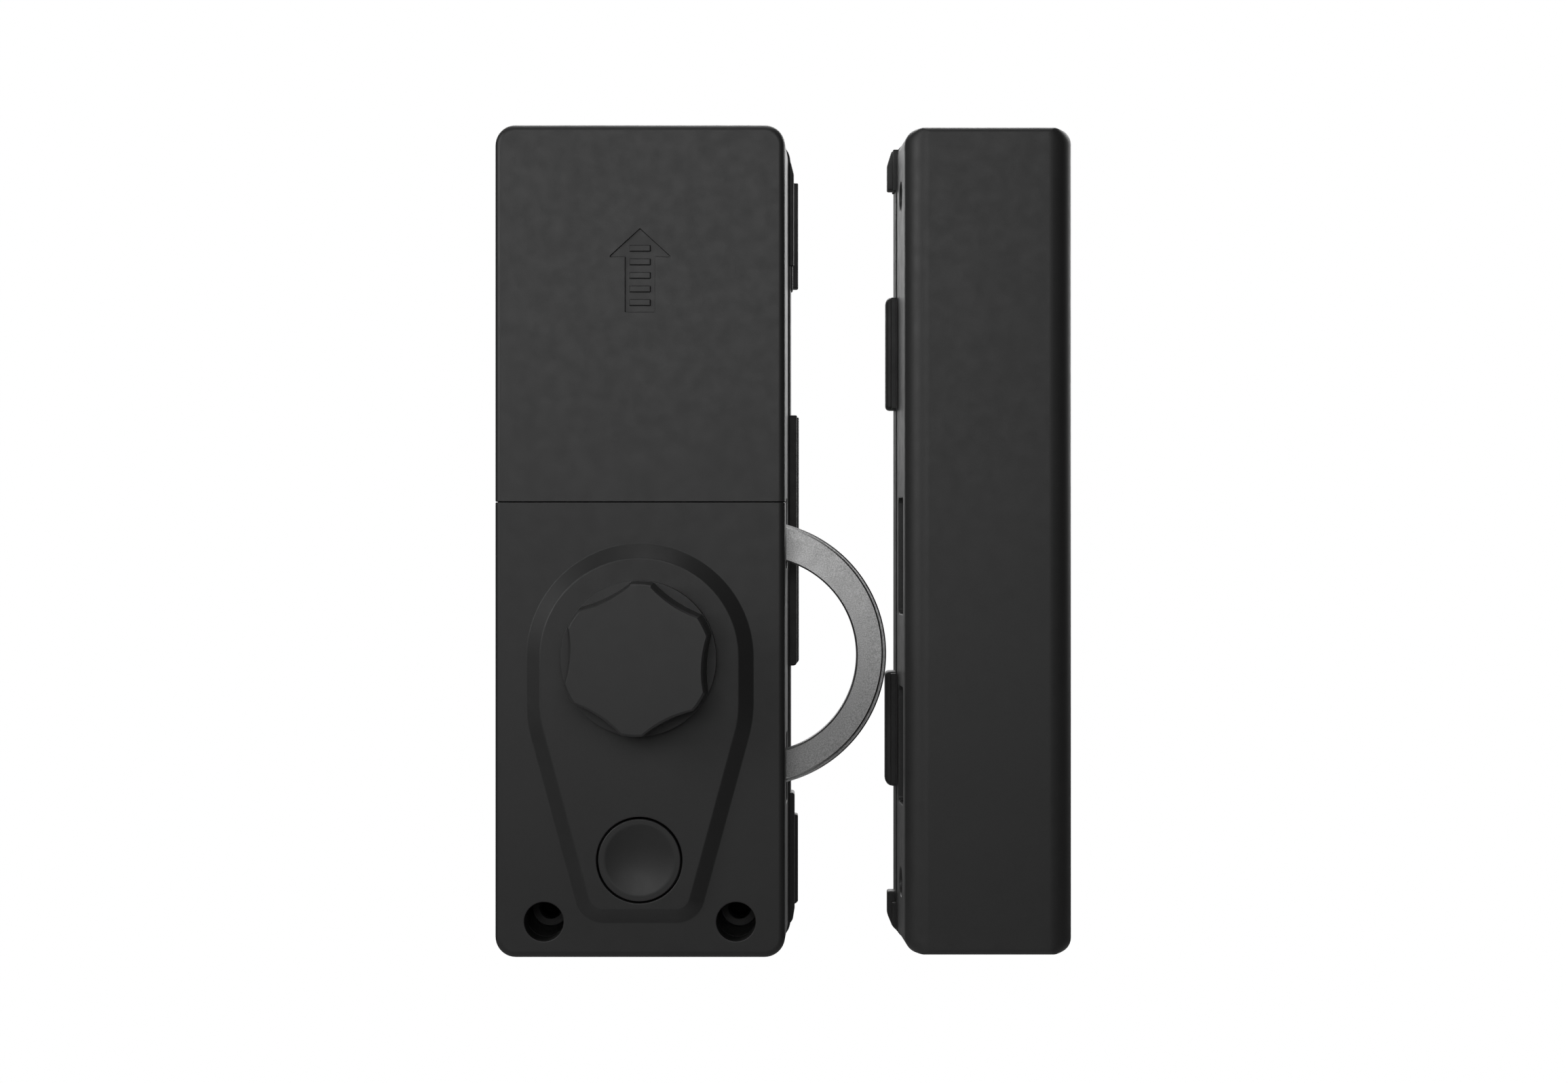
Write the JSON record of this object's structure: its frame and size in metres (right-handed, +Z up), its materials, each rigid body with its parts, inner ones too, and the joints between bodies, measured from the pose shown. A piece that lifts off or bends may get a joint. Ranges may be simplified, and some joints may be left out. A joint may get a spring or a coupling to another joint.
{
  "type": "rim smart lock with ring bolt",
  "caption": "Indoor rim smart lock body with thumb-turn knob, push button and sliding battery cover, its rotating C-shaped ring bolt out, and the slotted strike box.",
  "frame": {"origin": "centre of the lock body's rear face, which lies on the door leaf", "axes": "+Z up, -Y out of the door towards the room, +X towards the strike box"},
  "size_m": [0.1328, 0.0515, 0.1866],
  "materials": {
    "base_dark": "dark matte",
    "board_green": "solder mask",
    "bolt_steel": "bead-blasted satin steel with bright chamfers",
    "button_black": "black satin",
    "cell_wrap": "shrink sleeve",
    "component_black": "moulded case",
    "contact_spring_steel": "nickel-plated",
    "frame_black": "fine grained black coat on die-cast metal",
    "gasket_rubber": "closed-cell foam",
    "gear_brass": "machined",
    "hardware_steel": "plain",
    "knob_black": "black satin paint on metal",
    "nylon_white": "natural nylon",
    "shell_black": "fine black satin with a soft sheen",
    "zinc_sheet": "zinc-plated sheet"
  },
  "bodies": {
    "lock_body": {"base_plate": "base_dark", "base_screw_1": "hardware_steel", "base_screw_2": "hardware_steel", "base_screw_3": "hardware_steel", "base_screw_4": "hardware_steel", "battery_1": "cell_wrap", "battery_2": "cell_wrap", "battery_3": "cell_wrap", "battery_4": "cell_wrap", "battery_tray": "base_dark", "board_connector": "nylon_white", "button_board": "board_green", "buzzer": "component_black", "chassis_frame": "frame_black", "contact_link_left": "contact_spring_steel", "contact_link_lower": "contact_spring_steel", "contact_link_right": "contact_spring_steel", "contact_spring_1": "contact_spring_steel", "contact_spring_2": "contact_spring_steel", "contact_spring_3": "contact_spring_steel", "contact_spring_4": "contact_spring_steel", "controller_chip": "component_black", "door_gasket": "gasket_rubber", "door_sensor": "component_black", "front_housing": "shell_black", "gear_motor": "zinc_sheet", "gear_shield": "zinc_sheet", "idler_pin": "hardware_steel", "main_board": "board_green", "mechanism_front_plate": "zinc_sheet", "mechanism_rear_plate": "zinc_sheet", "plate_screw_1": "hardware_steel", "plate_screw_2": "hardware_steel", "plate_screw_3": "hardware_steel", "plate_spacer_1": "zinc_sheet", "plate_spacer_2": "zinc_sheet", "plate_spacer_3": "zinc_sheet", "ring_guide": "nylon_white", "tact_switch": "component_black"},
    "ring": {"ring_bolt": "bolt_steel"},
    "drive": {"drive_shaft": "hardware_steel", "drive_gear": "gear_brass", "drive_pinion": "gear_brass"},
    "idler": {"idler_gear": "nylon_white"},
    "knob": {"knob_cap": "knob_black", "knob_shaft": "hardware_steel", "knob_gear": "nylon_white", "knob_clip": "contact_spring_steel"},
    "motor_output": {"motor_pinion": "gear_brass"},
    "button": {"push_button": "button_black"},
    "cover": {"battery_cover": "shell_black"},
    "strike": {"strike_base": "base_dark", "strike_cover": "shell_black", "strike_frame": "frame_black", "strike_gasket": "gasket_rubber", "strike_keeper": "bolt_steel", "strike_magnet": "zinc_sheet", "strike_screw_1": "hardware_steel", "strike_screw_2": "hardware_steel"}
  },
  "joints": [
    {"name": "ring_turn", "type": "hinge", "parent": "lock_body", "child": "ring", "pos_m": [0.0255, -0.018, -0.026], "axis": [0, -1, 0], "range_deg": [0, 180]},
    {"name": "drive_spin", "type": "hinge", "parent": "lock_body", "child": "drive", "pos_m": [0.02154, -0.02, 0.00877], "axis": [0, -1, 0], "range_deg": [-871, 1]},
    {"name": "idler_spin", "type": "hinge", "parent": "lock_body", "child": "idler", "pos_m": [0.00807, -0.025, 0.00497], "axis": [0, -1, 0], "range_deg": [-1, 654]},
    {"name": "knob_turn", "type": "hinge", "parent": "lock_body", "child": "knob", "pos_m": [0, -0.04, -0.026], "axis": [0, -1, 0], "range_deg": [-219, 1]},
    {"name": "motor_spin", "type": "hinge", "parent": "lock_body", "child": "motor_output", "pos_m": [-0.02051, -0.022, -0.04651], "axis": [0, -1, 0], "range_deg": [-1, 1045]},
    {"name": "button_press", "type": "slide", "parent": "lock_body", "child": "button", "axis": [0, 1, 0], "range_m": [0, 0.0008], "stiffness_N_per_m": 1500},
    {"name": "cover_slide", "type": "slide", "parent": "lock_body", "child": "cover", "axis": [0, 0, 1], "range_m": [0, 0.084]},
    {"name": "leaf_slide", "type": "slide", "parent": "lock_body", "child": "strike", "axis": [1, 0, 0], "range_m": [0, 0.06]}
  ],
  "couplings": [
    {"joint": "drive_spin", "follows": "ring_turn", "ratio": -4.8333},
    {"joint": "idler_spin", "follows": "ring_turn", "ratio": 3.625},
    {"joint": "knob_turn", "follows": "ring_turn", "ratio": -1.2083},
    {"joint": "motor_spin", "follows": "ring_turn", "ratio": 5.8}
  ]
}
